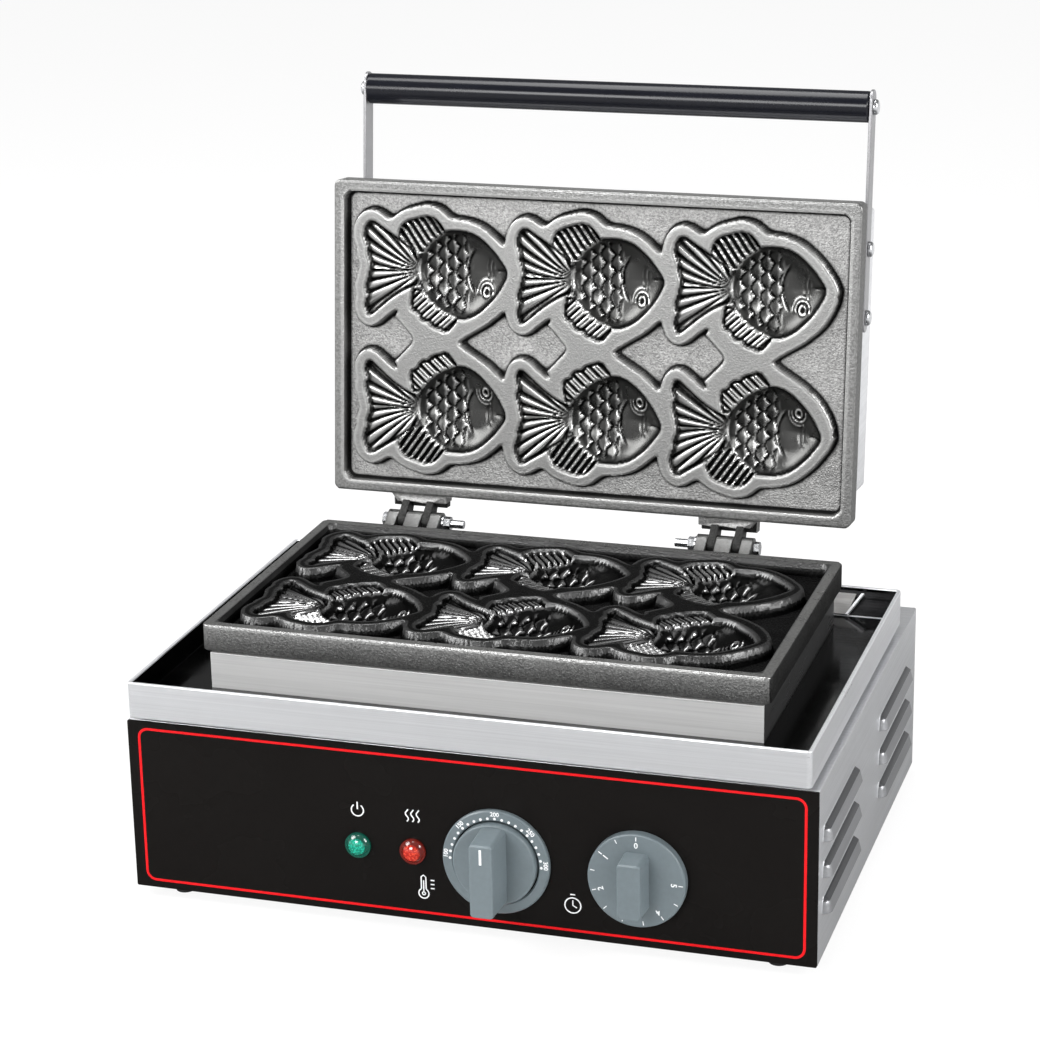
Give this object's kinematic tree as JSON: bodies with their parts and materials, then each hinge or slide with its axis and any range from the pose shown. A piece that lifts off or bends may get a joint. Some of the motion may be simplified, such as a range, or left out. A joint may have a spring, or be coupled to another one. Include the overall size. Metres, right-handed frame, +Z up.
{
  "type": "taiyaki maker",
  "caption": "Countertop taiyaki cooker: louvred steel base with drip tray, fish-mould plates, hinged lid with a bar handle, temperature dial, timer and lamps.",
  "frame": {"origin": "below the middle of the open appliance, on the surface its feet stand on", "axes": "+X to the user's right along the hinges, +Y away from the user, +Z up"},
  "size_m": [0.4104, 0.3787, 0.4254],
  "materials": {
    "casing_steel": "brushed stainless sheet",
    "panel_black": "gloss black with a thin red border",
    "tray_steel": "brushed stainless sheet",
    "box_steel": "brushed stainless sheet, warm from heat",
    "mould_iron": "seasoned cast iron, satin to glossy",
    "element_steel": "dull heater tube",
    "pan_steel": "aluminised sheet",
    "insulation": "mineral wool",
    "bright_hardware": "bright plated",
    "dull_hardware": "plain steel",
    "control_grey": "moulded grey plastic",
    "switch_black": "moulded black plastic",
    "lamp_green": "translucent green lens",
    "lamp_red": "translucent red lens",
    "grip_black": "smooth black",
    "foot_rubber": "black rubber",
    "block_white": "moulded terminal block",
    "shaft_brass": "turned brass"
  },
  "bodies": {
    "base": {"body_shell": "casing_steel", "bottom_plate": "casing_steel", "base_screws": "dull_hardware", "feet": "foot_rubber", "foot_screws": "dull_hardware", "front_panel": "panel_black", "drip_tray": "tray_steel", "heater_box": "box_steel", "lower_plate": "mould_iron", "lower_element": "element_steel", "lower_element_pan": "pan_steel", "lower_insulation": "insulation", "lower_studs": "dull_hardware", "lower_nuts": "dull_hardware", "sensor_bulb": "shaft_brass", "thermostat": "switch_black", "timer": "switch_black", "switch_screws": "dull_hardware", "temperature_dial": "control_grey", "power_lamp": "lamp_green", "heat_lamp": "lamp_red", "lamp_nuts": "switch_black", "terminal_block": "block_white", "mains_gland": "switch_black", "base_link_gland": "switch_black", "base_gland_nuts": "switch_black", "hinge_bolts": "bright_hardware", "hinge_washers": "bright_hardware", "hinge_nuts": "bright_hardware"},
    "lid": {"lid_plate": "mould_iron", "lid_cover": "casing_steel", "upper_element": "element_steel", "upper_element_pan": "pan_steel", "upper_insulation": "insulation", "lid_studs": "dull_hardware", "lid_cap_nuts": "bright_hardware", "lid_link_gland": "switch_black", "lid_gland_nut": "switch_black", "handle_arm_left": "casing_steel", "handle_arm_right": "casing_steel", "handle_grip": "grip_black", "grip_screws": "bright_hardware", "arm_bolts": "bright_hardware", "arm_nuts": "dull_hardware"},
    "temperature_knob": {"temperature_knob": "control_grey", "thermostat_shaft": "shaft_brass"},
    "timer_knob": {"timer_knob": "control_grey", "timer_shaft": "shaft_brass"}
  },
  "joints": [
    {"name": "lid_hinge", "type": "hinge", "parent": "base", "child": "lid", "pos_m": [0, 0.0862, 0.156], "axis": [1, 0, 0], "range_deg": [0, 96]},
    {"name": "temperature_turn", "type": "hinge", "parent": "base", "child": "temperature_knob", "pos_m": [0.0197, -0.1593, 0.048], "axis": [0, 1, 0], "range_deg": [-135, 90]},
    {"name": "timer_turn", "type": "hinge", "parent": "base", "child": "timer_knob", "pos_m": [0.1008, -0.1593, 0.048], "axis": [0, 1, 0], "range_deg": [0, 270]}
  ]
}
